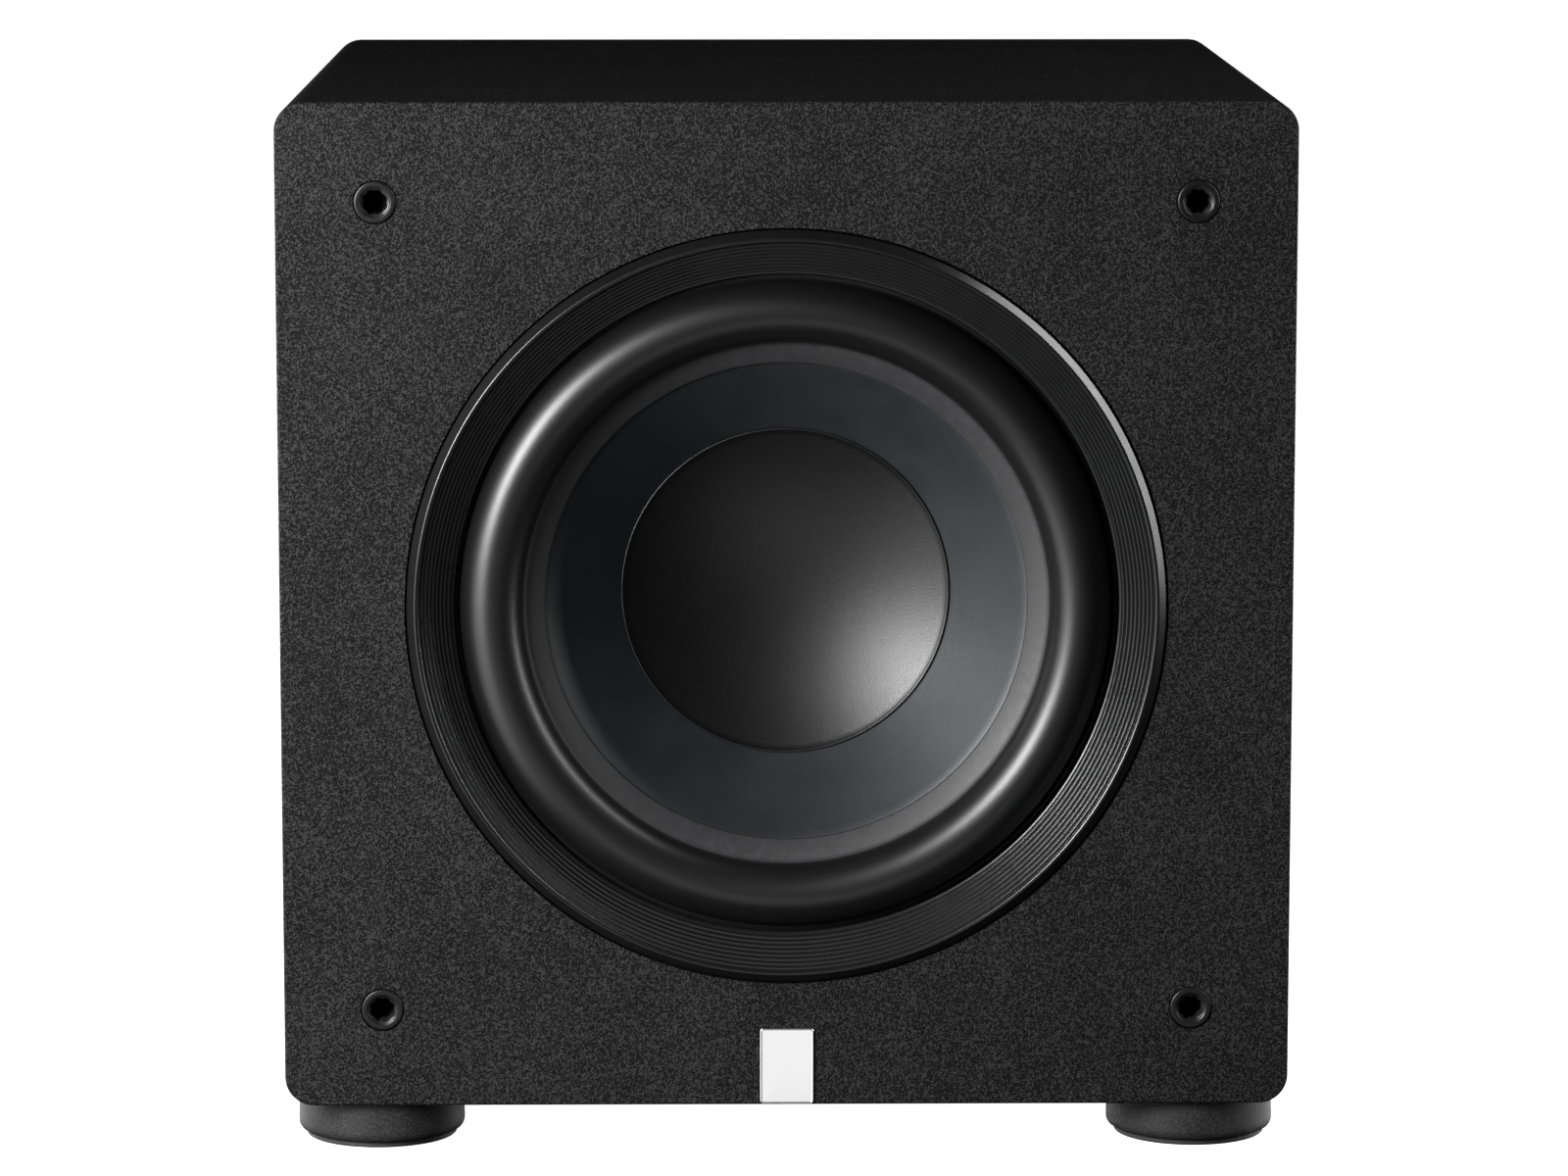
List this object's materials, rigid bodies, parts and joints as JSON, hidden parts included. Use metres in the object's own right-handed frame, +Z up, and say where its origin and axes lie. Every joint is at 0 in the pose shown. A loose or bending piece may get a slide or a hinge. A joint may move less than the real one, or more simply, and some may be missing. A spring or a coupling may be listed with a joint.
{
  "type": "powered subwoofer",
  "caption": "Square black powered subwoofer with a long-throw woofer in a grooved trim ring, round feet, and a rear amplifier plate with knobs, switches and sockets.",
  "frame": {"origin": "on the floor under the middle of the object", "axes": "+Z up, +X to the right seen from the front, the woofer faces -Y"},
  "size_m": [0.348, 0.3822, 0.365],
  "materials": {
    "vinyl_textured": "fine leather-grain black vinyl wrap",
    "panel_wood": "raw medium-density fibreboard",
    "foot_plastic": "satin speckled black plastic",
    "rubber_black": "matte rubber",
    "gloss_black": "glossy injection-moulded black",
    "socket_rubber": "satin rubber",
    "badge_silver": "fine brushed silver",
    "surround_rubber": "smooth satin butyl rubber",
    "cone_paper": "coated pulp, satin dark grey",
    "cap_paper": "coated pulp, fine grain",
    "cloth_amber": "resin-treated woven cotton",
    "copper_wire": "enamelled copper",
    "steel_zinc": "zinc-plated steel",
    "steel_black": "black powder-coated steel",
    "ferrite": "sintered ferrite, ground faces",
    "felt_lining": "polyester fibre batting",
    "gasket_foam": "closed-cell foam",
    "board_green": "solder-masked glass laminate",
    "board_tan": "phenolic laminate",
    "lead_red": "PVC insulation",
    "black_anodised": "black anodised extrusion",
    "component_black": "epoxy moulding",
    "capacitor_sleeve": "heat-shrunk sleeve",
    "transformer_tape": "polyester tape over ferrite",
    "nickel": "nickel plate",
    "black_nylon": "fine-textured nylon",
    "lens_blue": "diffuse lens",
    "fuse_glass": "glass tube with plated caps"
  },
  "bodies": {
    "cabinet": {"front_baffle": "vinyl_textured", "top_panel": "vinyl_textured", "bottom_panel": "vinyl_textured", "left_panel": "vinyl_textured", "right_panel": "vinyl_textured", "rear_panel": "vinyl_textured", "window_brace": "panel_wood", "lining_pads": "felt_lining", "foot_bodies": "foot_plastic", "foot_pads": "rubber_black", "foot_screws": "steel_zinc", "grille_sockets": "socket_rubber", "badge": "badge_silver", "trim_ring": "gloss_black", "woofer_frame": "steel_black", "woofer_gasket": "gasket_foam", "woofer_screws": "steel_zinc", "top_plate": "steel_zinc", "magnets": "ferrite", "pole_yoke": "steel_zinc", "magnet_boot": "rubber_black", "terminal_board": "board_tan", "woofer_terminals": "nickel", "speaker_leads": "lead_red", "amp_plate": "steel_black", "amp_gasket": "gasket_foam", "amp_screws": "steel_black", "heat_sink": "black_anodised", "amp_tub": "steel_zinc", "main_board": "board_green", "board_spacers": "nickel", "signal_board": "board_green", "power_transistors": "component_black", "capacitors": "capacitor_sleeve", "transformer": "transformer_tape", "pot_bodies": "nickel", "pot_nuts": "nickel", "switch_bodies": "nickel", "led_lens": "lens_blue", "rocker_frame": "black_nylon", "inlet_housing": "black_nylon", "inlet_pins": "nickel", "rca_housing": "black_nylon", "rca_shells": "nickel"},
    "cone_assembly": {"cone": "cone_paper", "dust_cap": "cap_paper", "voice_coil_former": "nickel", "voice_coil": "copper_wire", "surround": "surround_rubber", "spider": "cloth_amber", "tinsel_leads": "copper_wire"},
    "volume_control": {"volume_knob": "black_nylon", "volume_shaft": "nickel"},
    "crossover_control": {"crossover_knob": "black_nylon", "crossover_shaft": "nickel"},
    "phase_slider": {"phase_lever": "black_nylon"},
    "mode_slider": {"mode_lever": "black_nylon"},
    "rocker": {"power_rocker": "black_nylon"},
    "fuse_tray": {"fuse_drawer": "black_nylon", "fuse": "fuse_glass"}
  },
  "joints": [
    {"name": "cone_travel", "type": "slide", "parent": "cabinet", "child": "cone_assembly", "axis": [0, -1, 0], "range_m": [-0.01, 0.01], "stiffness_N_per_m": 5000, "deforming": ["surround", "spider", "tinsel_leads"]},
    {"name": "volume_turn", "type": "hinge", "parent": "cabinet", "child": "volume_control", "pos_m": [0.055, 0.17515, 0.2], "axis": [0, 1, 0], "range_deg": [-150, 150]},
    {"name": "crossover_turn", "type": "hinge", "parent": "cabinet", "child": "crossover_control", "pos_m": [0.015, 0.17515, 0.2], "axis": [0, 1, 0], "range_deg": [-150, 150]},
    {"name": "phase_slide", "type": "slide", "parent": "cabinet", "child": "phase_slider", "axis": [1, 0, 0], "range_m": [0, 0.004]},
    {"name": "mode_slide", "type": "slide", "parent": "cabinet", "child": "mode_slider", "axis": [1, 0, 0], "range_m": [0, 0.004]},
    {"name": "rocker_tilt", "type": "hinge", "parent": "cabinet", "child": "rocker", "pos_m": [-0.05, 0.17565, 0.14], "axis": [-1, 0, 0], "range_deg": [0, 16]},
    {"name": "fuse_pull", "type": "slide", "parent": "cabinet", "child": "fuse_tray", "axis": [0, 1, 0], "range_m": [0, 0.012]}
  ]
}
